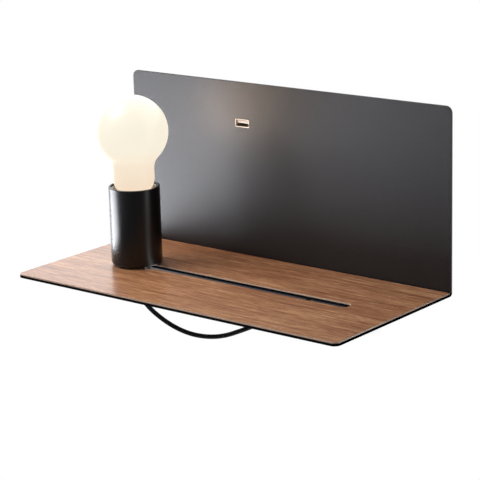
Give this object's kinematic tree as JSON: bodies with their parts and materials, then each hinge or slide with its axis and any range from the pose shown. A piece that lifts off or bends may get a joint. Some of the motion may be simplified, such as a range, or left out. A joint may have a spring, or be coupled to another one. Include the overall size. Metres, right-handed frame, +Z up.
{
  "type": "wall lamp with shelf",
  "caption": "Wall lamp whose bent steel panel carries a wood-veneered shelf; a cup lampholder with an opal bulb slides along a slot, and the panel has a USB port.",
  "frame": {"origin": "the middle of the two wall screw slots, on the wall plane", "axes": "+X along the shelf to the right seen from the room, +Y into the wall, +Z up; the room lies towards -Y"},
  "size_m": [0.325, 0.18, 0.2134],
  "materials": {
    "panel_paint": "black powder coat, fine texture",
    "housing_paint": "black powder coat",
    "cup_paint": "satin black powder coat",
    "walnut_veneer": "satin lacquer",
    "zinc_steel": "bright zinc plated",
    "shell_steel": "nickel plated",
    "contact_gold": "gilt",
    "port_plastic": "white moulded",
    "board_green": "solder mask",
    "component_black": "moulded",
    "driver_white": "potted case",
    "terminal_white": "moulded",
    "terminal_brass": "plain",
    "gland_black": "matt",
    "nylon_black": "fine matt",
    "cord_black": "satin jacket",
    "holder_nickel": "satin nickel",
    "ceramic_white": "unglazed",
    "shell_brass": "nickel-washed",
    "cap_nickel": "rolled nickel-plated",
    "bulb_opal": "opal, lit",
    "black_glass": "vitrite",
    "clear_glass": "clear",
    "led_phosphor": "phosphor coat",
    "solder": "solder"
  },
  "bodies": {
    "shelf_body": {"steel_sheet": "panel_paint", "wood_veneer": "walnut_veneer", "rear_housing": "housing_paint", "wall_bracket": "zinc_steel", "fixing_screws": "housing_paint", "panel_studs": "zinc_steel", "stud_nuts": "zinc_steel", "usb_shell": "shell_steel", "usb_tongue": "port_plastic", "usb_contacts": "contact_gold", "usb_board": "board_green", "board_standoffs": "zinc_steel", "board_screws": "zinc_steel", "board_parts": "component_black", "usb_driver": "driver_white", "terminal_block": "terminal_white", "terminal_screws": "terminal_brass", "earth_screw": "terminal_brass", "cord_gland": "gland_black", "gland_nut": "nylon_black", "lamp_cord": "cord_black"},
    "lamp_slider": {"lamp_cup": "cup_paint", "base_disc": "zinc_steel", "slide_bush": "nylon_black", "hollow_stem": "zinc_steel", "spring_washer": "zinc_steel", "stem_nut": "zinc_steel", "cord_grip": "nylon_black", "holder_dome": "holder_nickel", "holder_insert": "ceramic_white", "holder_barrel": "holder_nickel", "screw_shell": "shell_brass", "centre_contact": "terminal_brass", "holder_terminals": "terminal_brass"},
    "bulb": {"bulb_glass": "bulb_opal", "bulb_cap": "cap_nickel", "bulb_insulator": "black_glass", "bulb_tip": "solder", "bulb_pillar": "clear_glass", "led_rods": "led_phosphor"}
  },
  "joints": [
    {"name": "lamp_slide", "type": "slide", "parent": "shelf_body", "child": "lamp_slider", "axis": [1, 0, 0], "range_m": [-0.007, 0.207]},
    {"name": "bulb_turn", "type": "hinge", "parent": "lamp_slider", "child": "bulb", "pos_m": [-0.1, -0.1015, 0], "axis": [0, 0, 1], "range_deg": [0, 1080]}
  ]
}
